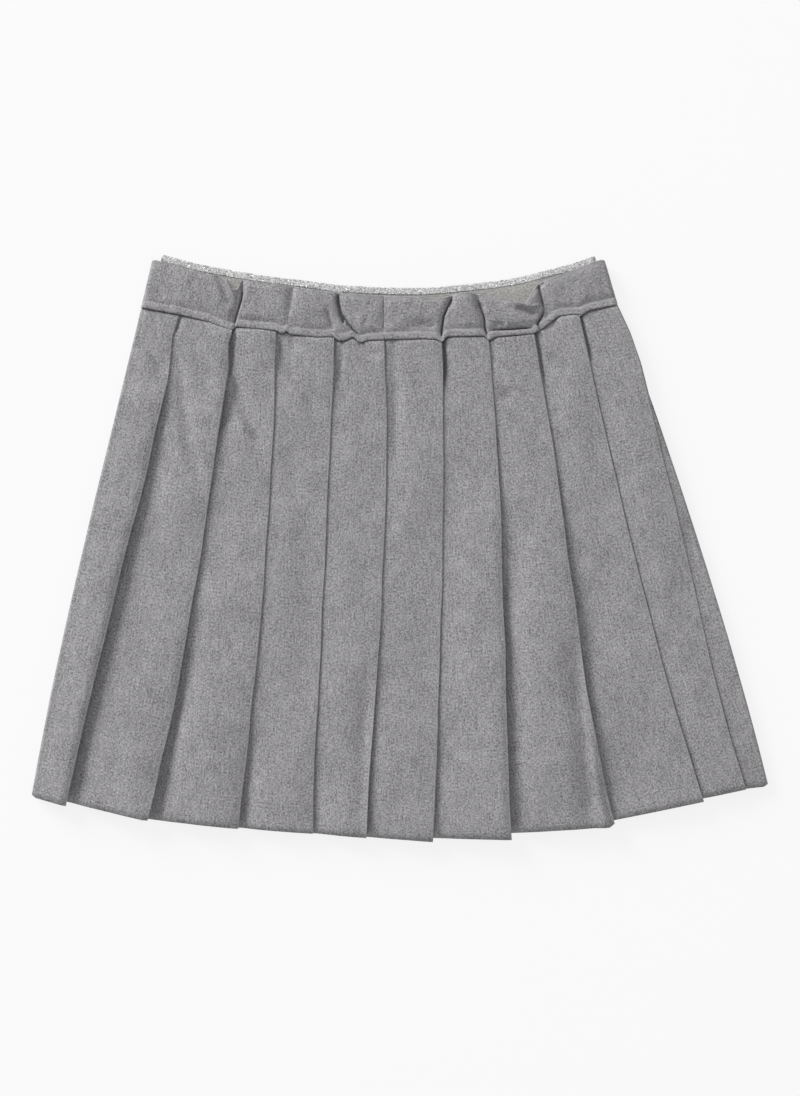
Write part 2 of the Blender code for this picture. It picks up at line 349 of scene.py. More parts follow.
# %% [markdown]
# ## Sheets of cloth from a grid
# A grid is the natural start for woven cloth: its rows and columns run like the threads. The helper
# makes one with the grid operator, moves its corners to a table of places, and writes the cloth map
# from the same table, so that the weave always follows the form. Solidify gives the wall afterwards.

# %% The grid helper
MERGE_WITHIN = 0.000001


def cloth_sheet(name, places, threads, material, wall, closed=False):
    """A grid moved to places (rows, columns, 3) in mm, mapped by threads (rows, columns, 2)."""
    rows, columns = places.shape[0] - 1, places.shape[1] - 1
    form = bmesh.new()
    bmesh.ops.create_grid(form, x_segments=columns, y_segments=rows, size=1.0)
    cloth = form.loops.layers.uv.new("cloth")
    for vertex in form.verts:
        column = round((vertex.co.x + 1) / 2 * columns)
        row = round((1 - vertex.co.y) / 2 * rows)
        vertex.co = places[row, column] * MM
        for loop in vertex.link_loops:
            loop[cloth].uv = threads[row, column] * MM
    if closed:
        bmesh.ops.remove_doubles(form, verts=form.verts, dist=MERGE_WITHIN)
    piece = finished(name, form, material)
    solid = piece.modifiers.new("wall", "SOLIDIFY")
    solid.thickness = wall * MM
    solid.offset = 0.0
    solid.use_quality_normals = True
    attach(piece, BODY)
    print(name, "has about", rows * columns * 4, "triangles")
    return piece


def lengths(places, axis):
    """How far each point is along the cloth from its first row or column."""
    steps = np.linalg.norm(np.diff(places, axis=axis), axis=2)
    total = np.cumsum(steps, axis=axis)
    return np.insert(total, 0, 0.0, axis=axis)


# %% [markdown]
# ## Where the folds run
# A knife pleat is a zigzag in the cloth: a panel, its outer fold, the underlay that runs back beneath
# it, and a hidden fold where the next panel starts. All pleats here point to the viewer's right. The
# table gives each outer fold at four places, in mm from the middle, and both sides of the skirt as
# its first and last rows. They're the same folds that the solids have. The hem between two folds is
# straight, from the next_y of one to the hem_y of the other, so it steps where panels overlap.

# %% The fold table
Fold = namedtuple("Fold", "seam_x upper_x lower_x hem_x hem_y next_y")
FRONT = (
    Fold(-160.0, -184.1, -207.5, -227.5, -153.5, -153.5),
    Fold(-136.4, -157.7, -182.9, -206.5, -159.0, -156.9),
    Fold(-103.5, -117.4, -133.8, -155.6, -168.3, -167.7),
    Fold(-76.6, -80.7, -88.7, -100.1, -173.3, -173.0),
    Fold(-40.7, -45.0, -49.9, -54.3, -176.4, -176.2),
    Fold(-9.9, -9.0, -14.4, -21.1, -178.9, -178.5),
    Fold(25.7, 26.4, 24.2, 20.2, -181.4, -179.2),
    Fold(54.6, 61.8, 65.0, 68.5, -180.1, -176.4),
    Fold(82.5, 98.9, 112.7, 132.1, -172.1, -168.3),
    Fold(110.4, 133.3, 157.9, 187.6, -156.6, -154.7),
    Fold(133.3, 163.7, 187.1, 213.7, -149.1, -148.8),
    Fold(134.5, 168.9, 200.4, 227.5, -147.3, -147.3),
)
WALL = 0.4
PLY = 0.5
BACK_FACE = 0.3
FRONT_HIDDEN, FRONT_TURN = 6.2, 2.8
BACK_HIDDEN, BACK_TURN = BACK_FACE + 2 * PLY, 2.9
SIDE_WIDE = 1.2
SEAM_GAP = 0.3
print(len(FRONT) - 2, "folds in front")

# %% [markdown]
# A pressed fold is sharp, but it doesn't lie flat all the way: where the cloth springs open, the
# panel arches up and rolls over just before its fold, the next panel sinks beside it, and a wide soft
# shadow falls between them. The lift table says by how many mm, at nine places down each fold, and
# the skirt's left side stands up by a share of the first fold's lift. Two folds also curl near the
# hem: there the last few mm of the panel rise in a step, like a flattened tube, and the tube of the
# wider one falls away to its outer edge. The bend table moves a few folds sideways near the waist,
# where four places are too few for their line.

# %% How far the folds stand up
LIFT_AT = (0.0, 0.05, 0.09, 0.13, 0.2, 0.3, 0.5, 0.75, 1.0)
LIFT_SOFT = 0.015
Lift = namedtuple("Lift", "seam gather pinch spring top upper middle lower hem")
LIFTS = {
    1: Lift(0.0, 0.0, 0.0, 0.2, 2.2, 2.4, 3.8, 4.1, 4.4),
    2: Lift(1.6, 1.2, 0.1, 2.2, 1.4, 0.8, 0.8, 3.2, 4.4),
    3: Lift(0.3, 0.5, 0.3, 0.1, 0.0, 0.0, 0.0, 0.6, 2.7),
    4: Lift(0.9, 0.9, 0.6, 0.1, 0.0, 0.0, 0.0, 0.2, 1.0),
    5: Lift(0.5, 0.2, 0.0, 0.0, 0.0, 0.0, 0.1, 0.9, 2.5),
    6: Lift(1.0, 1.5, 0.3, 0.0, 0.0, 0.0, 0.0, 0.4, 1.6),
    7: Lift(0.1, 0.0, 0.0, 0.0, 0.4, 0.9, 2.6, 3.5, 3.5),
    8: Lift(1.0, 0.7, 0.3, 0.2, 0.3, 0.8, 2.6, 3.0, 2.0),
    9: Lift(1.0, 0.5, 0.1, 0.0, 0.0, 0.0, 0.0, 0.1, 0.8),
    10: Lift(0.0, 0.0, 0.0, 0.0, 0.0, 0.0, 0.0, 0.0, 0.4),
}
ROLL, ROLL_WIDE, SIDE_RAISE = 0.42, 5.0, 0.5
GUTTER, GUTTER_WIDE, SINK_SHARE, SINK_WIDE = 0.3, 0.9, 0.7, 9.5
Curl = namedtuple("Curl", "begins wide tall fall corner")
CURLS = {2: Curl(0.62, 2.8, 1.4, 0.2, 0.4), 8: Curl(0.45, 7.2, 2.4, 1.25, 1.8)}
CURL_STEP, LEAST_CURL = 1.3, 0.1
Bend = namedtuple("Bend", "down shift")
BENDS = {
    1: (Bend(0.0, 0.0), Bend(0.045, -2.0), Bend(0.137, 1.2), Bend(0.22, 0.4), Bend(0.32, 0.0)),
    2: (
        Bend(0.0, 0.0),
        Bend(0.03, -1.4),
        Bend(0.08, 0.9),
        Bend(0.15, 0.3),
        Bend(0.26, -0.4),
        Bend(0.4, 0.0),
    ),
    10: (Bend(0.0, 0.0), Bend(0.058, 2.0), Bend(0.12, 1.9), Bend(0.21, 0.2), Bend(0.36, 0.0)),
    11: (Bend(0.0, 0.0), Bend(0.058, 1.8), Bend(0.12, 1.8), Bend(0.21, -0.8), Bend(0.36, 0.0)),
}


def softened(at, table, x, soften):
    """Reads a short table at each x, with its corners rounded over that distance."""
    offsets = np.linspace(-soften, soften, 5)
    return sum(np.interp(x + offset, at, table) for offset in offsets) / len(offsets)


def lift_of(k, down):
    """How high fold k stands at each share of the way down."""
    return softened(LIFT_AT, LIFTS[k], down, LIFT_SOFT)


print("folds that curl:", list(CURLS), "and that bend:", list(BENDS))


# %% The waist seam
BACK_SAG, SEAM_SOFT = 21.0, 0.9
Place = namedtuple("Place", "x y")


def places_at(*pairs):
    """A line of places from pairs of x and y."""
    return [Place(x, y) for x, y in pairs]


SEAM = places_at(
    (-160.0, 148.5), (-150.0, 146.6), (-136.4, 144.2), (-118.4, 139.8), (-109.1, 136.1),
    (-104.2, 134.2), (-101.1, 136.7), (-76.3, 134.2), (-72.5, 131.8), (-70.1, 134.2),
    (-67.6, 131.8), (-50.2, 130.2), (-40.9, 130.5), (-38.4, 128.0), (-34.1, 128.0), (-29.1, 130.5),
    (-24.8, 126.5), (-21.1, 128.0), (-9.9, 128.7), (13.0, 129.3), (22.9, 128.7), (26.0, 126.5),
    (28.5, 130.5), (52.1, 131.1), (54.6, 128.0), (59.5, 130.5), (82.5, 132.4), (87.4, 134.9),
    (98.0, 143.2), (109.1, 144.2), (111.6, 143.5), (116.6, 146.6), (134.5, 150.3),
)


def rounded_line(table, x, soften):
    """The y of a table of places at each x, with its corners softened over that many mm."""
    return softened([place.x for place in table], [place.y for place in table], x, soften)


def seam_y(x, front=1.0):
    """The y of the waist seam: gathered in front, one even sag behind."""
    share = (x - SEAM[0].x) / (SEAM[-1].x - SEAM[0].x)
    behind = mix(SEAM[0].y, SEAM[-1].y, share) - 4 * BACK_SAG * share * (1 - share)
    return mix(behind, rounded_line(SEAM, x, SEAM_SOFT), front)


# %% [markdown]
# ## Creases
# Simulated cloth crumples where it likes, but this skirt has its creases in known places. Each is a
# trough along a short line. Its two sides have their own widths, because cloth mostly falls gently
# into a crease on one side and rises at once on the other. The depth grows from the line's head and
# fades out at its end, and a negative depth makes a ridge. A crease may belong to one panel alone.

# %% The crease helper
Crease = namedtuple("Crease", "line left right depth head panel", defaults=(0,))
FADE = 0.3


def press_creases(x, y, creases, panels=None):
    """How far the creases push the cloth down at each point."""
    down = np.zeros_like(x)
    for crease in creases:
        points = np.array(crease.line, dtype=float)
        steps = np.linalg.norm(np.diff(points, axis=0), axis=1)
        nearest = np.full_like(x, 1e9)
        along = np.zeros_like(x)
        side = np.ones_like(x)
        before = 0.0
        for (ax, ay), (bx, by), step in zip(points, points[1:], steps):
            share = np.clip(((x - ax) * (bx - ax) + (y - ay) * (by - ay)) / step**2, 0.0, 1.0)
            away = np.hypot(x - mix(ax, bx, share), y - mix(ay, by, share))
            closer = away < nearest
            nearest = np.where(closer, away, nearest)
            along = np.where(closer, (before + share * step) / steps.sum(), along)
            side = np.where(closer, (bx - ax) * (y - ay) - (by - ay) * (x - ax), side)
            before += step
        width = np.where(side > 0, crease.right, crease.left)
        fade = mix(crease.head, 1.0, smooth(along / FADE)) * smooth((1 - along) / FADE)
        pressed = crease.depth * fade * np.exp(-((nearest / width) ** 2))
        if crease.panel:
            pressed = pressed * (panels == crease.panel)
        down += pressed
    return down


WAVE_STRETCH = 1.6


def unevenness(x, y, layers, seed):
    """Soft waves that no hand irons out: (length in mm, height in mm) for each layer."""
    wave = np.zeros(x.size)
    for length, height in layers:
        for index, (a, b) in enumerate(zip(x.flat, y.flat)):
            wave[index] += height * noise.noise(Vector((a / length, b / length / WAVE_STRETCH, seed)))
    return wave.reshape(x.shape)


# %% [markdown]
# The skirt's creases press a whole stack of layers down together, so that no layer is pushed through
# the next. Those with a panel's number are only in that panel's free part, beside the fold before it.

# %% The skirt's creases
SKIRT_CREASES = (
    Crease(((-164.0, 134.0), (-155.0, 122.0), (-144.0, 104.0)), 2.2, 5.0, 2.4, 0.8),
    Crease(((-140.0, 124.0), (-134.0, 96.0), (-131.0, 68.0), (-120.0, 30.0)), 5.0, 4.0, 2.4, 0.3),
    Crease(((-105.5, 110.0), (-97.5, 88.0), (-84.0, 56.0)), 4.0, 3.6, 2.6, 0.5),
    Crease(((-74.5, 126.0), (-66.0, 106.0), (-47.0, 80.0)), 3.5, 3.6, 2.4, 0.6),
    Crease(((-71.3, 66.7), (-66.0, 45.0), (-62.0, 25.0)), 6.0, 6.0, 1.4, 0.0),
    Crease(((-24.8, 126.8), (-18.0, 120.0), (-10.5, 117.0)), 1.4, 2.6, 1.6, 1.0),
    Crease(((-4.0, 126.0), (-3.0, 90.0), (-3.0, 42.0)), 3.0, 4.0, 1.6, 0.6),
    Crease(((67.0, 100.0), (64.5, 88.0)), 5.0, 5.0, 1.6, 0.0),
    Crease(((94.2, 81.5), (99.8, 86.5)), 2.0, 2.0, 1.2, 0.4),
    Crease(((90.0, 120.0), (100.0, 112.0), (108.0, 110.0)), 4.0, 3.0, 1.4, 0.2),
    Crease(((76.0, 20.0), (84.0, -60.0), (92.0, -196.0)), 14.0, 22.0, -3.0, 0.0),
    Crease(((106.0, -40.0), (113.5, -100.0), (122.8, -196.0)), 8.5, 1.4, 3.6, 0.0),
    Crease(((-131.0, -60.0), (-144.0, -120.0), (-153.5, -176.0)), 12.0, 6.0, 2.2, 0.0),
    Crease(((-18.0, -60.0), (-22.0, -120.0), (-25.3, -200.0)), 6.0, 3.0, 1.9, 0.0),
    Crease(((-92.0, -110.0), (-98.5, -190.0)), 9.0, 5.0, 1.7, 0.0),
    Crease(((-35.0, 129.0), (-35.6, 118.0), (-37.6, 100.0)), 3.4, 0.7, 1.6, 1.0, 5),
    Crease(((-103.0, 136.0), (-103.2, 124.0), (-105.0, 108.0)), 3.0, 2.0, 1.4, 1.0, 3),
    Crease(((-101.0, 110.0), (-104.5, 92.0), (-108.0, 70.0)), 3.0, 4.0, 1.6, 0.2, 3),
    Crease(((-106.0, 127.0), (-105.7, 111.0), (-109.0, 92.0), (-113.5, 62.0)), 1.2, 2.0, 1.7, 0.8, 3),
    Crease(((-73.5, 133.0), (-74.0, 120.0), (-76.0, 104.0)), 2.4, 2.4, 1.2, 1.0, 4),
    Crease(((-67.6, 132.0), (-65.0, 120.0)), 1.4, 1.4, 1.2, 1.0, 4),
    Crease(((27.4, 129.0), (28.0, 119.0), (28.4, 104.0)), 2.4, 1.0, 1.6, 1.0, 7),
    Crease(((26.2, 126.0), (26.8, 117.0), (26.6, 98.0)), 1.0, 1.2, 2.0, 0.8, 7),
    Crease(((56.5, 128.5), (59.0, 112.0)), 2.0, 2.0, 1.0, 1.0, 8),
    Crease(((84.0, 133.0), (87.0, 114.0), (90.0, 98.0)), 1.4, 1.2, 2.4, 1.0, 9),
    Crease(((97.0, 142.5), (92.0, 134.0)), 1.6, 1.6, 1.0, 1.0, 9),
    Crease(((111.5, 143.5), (115.0, 128.0), (119.0, 112.0)), 1.8, 1.2, 2.2, 1.0, 10),
    Crease(((-135.0, 143.0), (-139.5, 132.0)), 1.6, 1.6, 1.2, 1.0, 2),
)

# %% [markdown]
# ## The pleated cloth
# A loft, a simulation or a zigzag could make the pleats. The zigzag is chosen because a pleat is
# pressed: its folds are where the maker put them. Every row of the sheet is one cut across the skirt,
# built panel by panel. A visible panel lies low beside the fold before it and climbs over its own
# underlay, so its right edge stands three layers up and throws the dark strip seen in the picture.
# Cloth isn't stretched: what a panel gains in width towards the hem, its underlay gives up.

# %% Where a fold is, row by row
def station(fold, down):
    """The fold's x at each share of the way down, on a smooth curve through its four places."""
    thirds = 3 * down
    return (
        fold.seam_x * (1 - thirds) * (2 - thirds) * (3 - thirds) / 6
        + fold.upper_x * thirds * (2 - thirds) * (3 - thirds) / 2
        + fold.lower_x * thirds * (thirds - 1) * (3 - thirds) / 2
        + fold.hem_x * thirds * (thirds - 1) * (thirds - 2) / 6
    )


WANDER_WAVES, WANDER_FROM = 9.0, 0.08


def fold_line(folds, k, down, wander):
    """A fold's x in every row, with its own bends and the small wander of a hand-pressed line."""
    line = station(folds[k], down)
    if wander == 0.0:
        return line
    if 0 < k < len(folds) - 1:
        wave = np.array([noise.noise(Vector((k * 5.7, WANDER_WAVES * share, 1.3))) for share in down])
        line = line + wander * wave * smooth(down / WANDER_FROM)
    if k in BENDS:
        at, shifts = zip(*BENDS[k])
        line = line + np.interp(down, at, shifts)
    return line


# %% The rise and fall of a panel
def sprung(share, inside, lift):
    """How high a panel stands a share of the way across, some mm inside the fold it rolls over to."""
    return lift * (smooth(share) - ROLL * np.clip(1 - inside / ROLL_WIDE, 0, 1) ** 2)


def curled(inside, wide, tall, fall):
    """How high a curl stands at some mm inside the fold."""
    width = np.maximum(wide, LEAST_CURL)
    reached = width - inside
    return tall * smooth(reached / CURL_STEP) * (1 - fall * np.clip(reached / width, 0, 1))


def sunk(away, lift):
    """How far a panel has sunk at some mm from the fold before it, which stands up by a lift."""
    gutter = GUTTER * np.exp(-((away / GUTTER_WIDE) ** 2))
    return gutter + SINK_SHARE * lift * np.exp(-((away / SINK_WIDE) ** 2))


# %% The section of a pleated half
Weave = namedtuple("Weave", "panel outer under inner turn")
Column = namedtuple("Column", "x z panel pleat")
NEAR_SHARES = (0.0, 0.012, 0.028, 0.05, 0.08, 0.12)
REST_FROM = 0.17
LEAST_UNDERLAY, UNDERLAY_SHARE = 5.0, 0.5
STEP_IN, LEAST_CLIMB, CLIMB_GAP = 0.3, 3.0, 0.5
SEAM_FLAT, SEAM_SHARE, PRESSED_RISE = 2.5, 0.12, 8.0


def side_turn(x, level, turn, spans, panel, way):
    """The rounded side of a half: from its outermost column to the face, or back for way -1."""
    made = []
    for angle in np.linspace(0, math.pi / 2, spans + 1)[:-1]:
        edge = x + way * SIDE_WIDE * (1 - math.cos(angle))
        made.append(Column(edge, level - turn * (1 - math.sin(angle)), panel, panel))
    return made[::way]


def section(folds, down, weave, pressed, wander):
    """The columns of a pleated half from its left side to its right, over all rows at once.

    Each has its x and z, the panel whose hem it ends on, and the pleat that it shows in, or 0.
    """
    xs = [fold_line(folds, k, down, wander) for k in range(len(folds))]
    last = len(folds) - 1
    level = np.zeros_like(down)
    side = level + (2 * PLY if pressed else 0.0)
    turn = BACK_TURN if pressed else FRONT_TURN
    raised = level if pressed else SIDE_RAISE * lift_of(1, down)
    columns = side_turn(xs[0], side + raised, turn + raised, weave.turn, 1, 1)
    start, before = xs[0] + SIDE_WIDE, level
    for k in range(1, last + 1):
        lift, wide, tall, fall = level, level, level, 0.0
        if not pressed and k in LIFTS:
            lift = lift_of(k, down)
        if not pressed and k in CURLS:
            curl = CURLS[k]
            grown = smooth((down - curl.begins) / (1 - curl.begins))
            wide, tall, fall = curl.wide * grown, curl.tall * grown, curl.fall
        visible = xs[k] - xs[k - 1]
        reach = np.minimum((TAKE - visible) / 2, UNDERLAY_SHARE * visible)
        reach = np.maximum(reach, LEAST_UNDERLAY)
        end = xs[k] - (PLY / 2 if k < last else SIDE_WIDE)
        flat = (k == 1 and pressed) or (k == last and not pressed)
        first = np.minimum(np.maximum(start + STEP_IN, xs[k - 1]), mix(start, end, 0.5))
        crest = first + PRESSED_RISE
        if not pressed:
            crest = np.maximum(xs[k] - reach - CLIMB_GAP, first + LEAST_CLIMB)
            crest = mix(first + SEAM_FLAT, crest, smooth(down / SEAM_SHARE))

        def rise(x):
            share = np.clip((x - first) / (end - first), 0, 1)
            height = sprung(share, xs[k] - x, lift) + curled(xs[k] - x, wide, tall, fall)
            if k == 1:
                return height + raised * (1 - smooth(share))
            if pressed:
                return height
            return height - sunk(np.maximum(x - first, 0), before)

        covered = (start, mix(start, first, 0.6)) if k > 1 else ()
        for x in covered:
            columns.append(Column(x, (side if flat else level) + rise(x), k, 0))
        for share in (*NEAR_SHARES, *np.linspace(REST_FROM, 1, weave.panel)):
            x = mix(first, end, share)
            z = side if flat else 2 * PLY * smooth((x - first) / (crest - first))
            columns.append(Column(x, z + rise(x), k, k))
        if k == last:
            break
        for angle in np.linspace(math.pi / 2, -math.pi / 2, weave.outer + 1)[1:]:
            x = end + PLY / 2 * math.cos(angle)
            columns.append(Column(x, rise(end) + PLY + PLY / 2 * (1 + math.sin(angle)), k, k))
        hidden = xs[k] - reach + PLY / 2
        for share in np.linspace(0, 1, weave.under + 1)[1:]:
            x = mix(end, hidden, share)
            columns.append(Column(x, rise(x) + PLY, k + 1, k))
        top = rise(hidden) + PLY
        foot = level if pressed else -sunk(level, lift)
        for angle in np.linspace(math.pi / 2, 3 * math.pi / 2, weave.inner + 1)[1:-1]:
            x = hidden + PLY / 2 * math.cos(angle)
            columns.append(Column(x, mix(foot, top, (1 + math.sin(angle)) / 2), k + 1, 0))
        start, before = hidden, lift
    return columns + side_turn(xs[-1], side, turn, weave.turn, last, -1)


HEM_TUCK, TUCK_WIDE = 1.2, 3.0
CORNER_WIDE, CORNER_RISE = 3.0, 1.3


def hem_line(folds, panels, x):
    """The y of each column's end, on the straight hem of its panel or that hem drawn on."""
    left = np.array([folds[panel - 1].hem_x for panel in panels])
    right = np.array([folds[panel].hem_x for panel in panels])
    left_y = np.array([folds[panel - 1].next_y for panel in panels])
    right_y = np.array([folds[panel].hem_y for panel in panels])
    return mix(left_y, right_y, (x - left) / (right - left))


def pleated_half(folds, down, weave, pressed, wander=0.0):
    """A pleated half in its own viewer's frame: its places, its threads and its pleats."""
    columns = section(folds, down, weave, pressed, wander)
    x = np.stack([column.x for column in columns], axis=1)
    z = np.stack([column.z for column in columns], axis=1)
    panels = np.array([column.panel for column in columns])
    pleats = np.array([column.pleat for column in columns])
    hem = hem_line(folds, panels, x[-1])
    above = np.maximum(panels - 1, 1)
    under = panels != pleats
    behind = np.array([folds[panel - 1].hem_x for panel in panels]) - x[-1]
    tucked = np.maximum(hem, hem_line(folds, above, x[-1])) + HEM_TUCK
    hidden_hem = mix(hem_line(folds, above, x[-1]), tucked, smooth(behind / TUCK_WIDE))
    hem = np.where(under & (behind > 0), hidden_hem, hem)
    curls = {} if pressed else CURLS
    for k, curl in curls.items():
        rounded = 1 - smooth((folds[k].hem_x - x[-1]) / CORNER_WIDE)
        hem = hem + curl.corner * np.where(pleats == k, rounded, 0)
    corner = np.minimum(x[-1] - x[-1, 0], x[-1, -1] - x[-1])
    hem = hem + CORNER_RISE * (1 - smooth(corner / CORNER_WIDE))
    seam = seam_y(-x[0], 0.0) if pressed else seam_y(x[0])
    y = mix(seam - SEAM_GAP / 2, hem, down[:, None])
    places = np.stack([x, y, z], axis=2)
    return places, pleated_threads(places, pleats), pleats


def pleated_threads(places, pleats):
    """The cloth map of a pleated half: threads run along each pleat's fold and aren't squeezed."""
    along = lengths(places, 1)
    showing = np.flatnonzero(pleats)
    crowns = [
        max(np.flatnonzero(pleats == pleat), key=lambda column: places[-1, column, 0])
        for pleat in range(1, pleats.max() + 1)
    ]
    count = np.arange(len(pleats))
    threads = np.zeros(places.shape[:2] + (2,))
    for row in range(len(along)):
        crown_at = along[row, [crowns[pleat - 1] for pleat in pleats[showing]]]
        known = along[row, showing] - crown_at + TAKE * pleats[showing]
        threads[row, :, 0] = np.interp(count, showing, known)
    threads[:, :, 1] = -lengths(places, 0)
    return threads


# %% [markdown]
# ## The front of the skirt
# The front has the full number of rows, closer together near the waist, where the gathers are small.
# Where a crease would push it through the back, it settles softly on the back instead.

# %% Make the front cloth
FRONT_LEAST_Z, FRONT_SOFT = 1.7, 0.8
FRONT_ROWS, ROW_CROWDING, FRONT_WANDER = 104, 1.45, 0.8
FRONT_WAVES = ((34.0, 1.7), (13.0, 0.5))
SEAM_DIVE, SEAM_ROLL = 1.9, 0.55
front_down = np.linspace(0, 1, FRONT_ROWS + 1) ** ROW_CROWDING
front_weave = Weave(panel=19, outer=6, under=4, inner=3, turn=5)
front_places, front_threads, front_pleats = pleated_half(
    FRONT, front_down, front_weave, False, FRONT_WANDER
)
front_x, front_y = front_places[:, :, 0], front_places[:, :, 1]
front_relief = unevenness(front_x, front_y, FRONT_WAVES, seed=4.0)
front_relief -= press_creases(front_x, front_y, SKIRT_CREASES, front_pleats[None, :])
front_relief -= SEAM_DIVE * np.exp((front_y - front_y[0]) / SEAM_ROLL)
front_above = front_places[:, :, 2] + FRONT_HIDDEN + front_relief - FRONT_LEAST_Z
front_places[:, :, 2] = FRONT_LEAST_Z + (front_above + np.hypot(front_above, FRONT_SOFT)) / 2
front_cloth = cloth_sheet("front_cloth", front_places, front_threads, SKIRT_FLANNEL, WALL)
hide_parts("skirt_front")
front_z = front_places[:, :, 2]
print("front is from", round(front_z.min(), 2), "to", round(front_z.max(), 2), "mm high")


# %% [markdown]
# The hem is turned up and caught with a row of short stitches that hardly show. Each is a tiny bead
# lying in the cloth, and all are joined in one mesh. A row of beads follows every panel's face at one
# height above its hem, at even steps along it. The beads are coloured a dark grey, which is painted
# shade: the thread is the cloth's grey, and the dark stands for the small dimples the stitches pull
# in.

# %% Hem stitches
STITCH_UP, STITCH_APART = 4.9, 3.1
STITCH_SIZE = Vector((0.62, 0.2, 0.14))


def stitch_row(places, face):
    """Places at even steps along a panel's face, at one height above its hem."""
    line = []
    for column in face:
        tall = places[:, column, 1] - places[-1, column, 1]
        line.append([np.interp(-STITCH_UP, -tall, places[:, column, axis]) for axis in range(3)])
    line = np.array(line)
    far = np.insert(np.cumsum(np.linalg.norm(np.diff(line, axis=0), axis=1)), 0, 0.0)
    at = np.arange(STITCH_APART / 2, far[-1], STITCH_APART)
    return np.stack([np.interp(at, far, line[:, axis]) for axis in range(3)], axis=1)


thread_form = bmesh.new()
for pleat in range(1, front_pleats.max() + 1):
    columns = np.flatnonzero(front_pleats == pleat)
    crown = columns[np.argmax(front_places[-1, columns, 0])]
    for x, y, z in stitch_row(front_places, columns[columns <= crown]):
        bead = bmesh.ops.create_uvsphere(thread_form, u_segments=6, v_segments=4, radius=MM)
        bmesh.ops.scale(thread_form, verts=bead["verts"], vec=STITCH_SIZE)
        bead_at = Vector((x, y, z + WALL / 2)) * MM
        bmesh.ops.translate(thread_form, verts=bead["verts"], vec=bead_at)
# The beads' dark grey is painted shade for the dimples that the stitches pull into the cloth.
painted_stitch_shade, _, _ = new_material(
    "painted_stitch_shade", {"Base Color": (0.12, 0.118, 0.123, 1), "Roughness": 0.8}
)
hem_stitches = finished("hem_stitches", thread_form, painted_stitch_shade)
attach(hem_stitches, BODY)
print("stitches:", len(hem_stitches.data.polygons) // 24)

# %% [markdown]
# ## The back of the skirt
# The back is the same cloth turned over. Its pleats go on round the body in the same direction, and
# the skirt's weight presses its visible panels flat on the table. The picture doesn't show it, so its
# folds are evenly spaced, and it has fewer rows and columns.

# %% Make the back cloth
BACK_FOLDS, BACK_HEM_RISE = 10, 1.5


def turned_over(folds):
    """The sides of the front as the back's own viewer sees them, with even folds between."""
    left, right = [
        Fold(-fold.seam_x, -fold.upper_x, -fold.lower_x, -fold.hem_x, fold.hem_y, fold.next_y)
        for fold in (folds[-1], folds[0])
    ]
    hem = sorted((-f.hem_x, f.next_y) for f in folds)
    rows = [left]
    for k in range(1, BACK_FOLDS + 1):
        share = k / (BACK_FOLDS + 1)
        hem_x = mix(left.hem_x, right.hem_x, share)
        hem_y = float(np.interp(hem_x, *zip(*hem))) + BACK_HEM_RISE
        rows.append(
            Fold(
                mix(left.seam_x, right.seam_x, share),
                mix(left.upper_x, right.upper_x, share),
                mix(left.lower_x, right.lower_x, share),
                hem_x,
                hem_y,
                hem_y,
            )
        )
    return rows + [right]


BACK_ROWS, BACK_CROWDING = 48, 1.2
back_down = np.linspace(0, 1, BACK_ROWS + 1) ** BACK_CROWDING
back_weave = Weave(panel=8, outer=6, under=1, inner=3, turn=5)
back_places, back_threads, _ = pleated_half(turned_over(FRONT), back_down, back_weave, True)
back_places[:, :, 0] *= -1
back_places[:, :, 2] = BACK_HIDDEN - back_places[:, :, 2]
back_cloth = cloth_sheet("back_cloth", back_places, back_threads, SKIRT_FLANNEL, WALL)
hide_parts("skirt_back")

# %% [markdown]
# ## The waistband
# The band is a tube of the same cloth, folded flat like the skirt, so its sheet is a ring: along the
# front, round the right side, back along the table and round the left. The elastic inside makes it
# pucker, and its foot has a raised ridge where it was turned and sewn. The top edge has a small dip
# at the left, where the front has slipped down, and a flap at the right.

# %% The band's edges
BAND_TOP = places_at(
    (-153.1, 178.3), (-125.9, 170.8), (-116.6, 168.8), (-109.4, 167.2), (-107.4, 166.0),
    (-105.8, 163.4), (-104.1, 160.5), (-102.4, 159.6), (-100.8, 159.8), (-99.3, 161.8),
    (-98.3, 164.8), (-97.4, 165.6), (-78.7, 162.8), (-67.0, 161.5), (-44.6, 158.4), (-31.6, 157.2),
    (-9.9, 155.3), (7.4, 155.3), (22.9, 154.1), (30.4, 155.3), (37.8, 157.8), (47.4, 157.2),
    (56.2, 154.8), (65.1, 153.5), (73.1, 152.1), (77.5, 150.8), (81.9, 158.3), (85.5, 163.2),
    (90.8, 165.4), (110.3, 172.9), (119.0, 176.5), (126.5, 178.3),
)
ELASTIC_TOP = places_at(
    (-146.9, 181.4), (-125.9, 175.8), (-102.3, 171.4), (-78.7, 167.7), (-62.0, 165.9),
    (-40.3, 162.8), (-18.6, 161.5), (-1.2, 160.9), (16.1, 160.9), (37.8, 162.8), (59.5, 165.2),
    (73.8, 167.4), (89.3, 171.4), (104.8, 175.4), (120.8, 180.7),
)
BAND_WALL, ELASTIC_WALL = 0.5, 0.5
BAND_BACK_Z, ELASTIC_BACK_Z, ELASTIC_FRONT_Z, BAND_LEAST_Z = 0.5, 1.6, 2.4, 3.1
BAND_FOOT_Z, BAND_FRONT_Z, BAND_CLIMB = 6.9, 7.7, 16.0
BAND_TURN, ELASTIC_TURN = 2.6, 0.8
ELASTIC_INSET, ELASTIC_FOOT, RIM = 6.5, 9.0, 0.6
BAND_SOFT, BACK_SOFT, ELASTIC_SOFT, RIM_SOFT = 0.5, 2.0, 0.6, 0.9
BACK_BAND_DROP, BACK_CORNER_DROP, BACK_CORNER_SHARE = 2.0, 2.6, 0.025

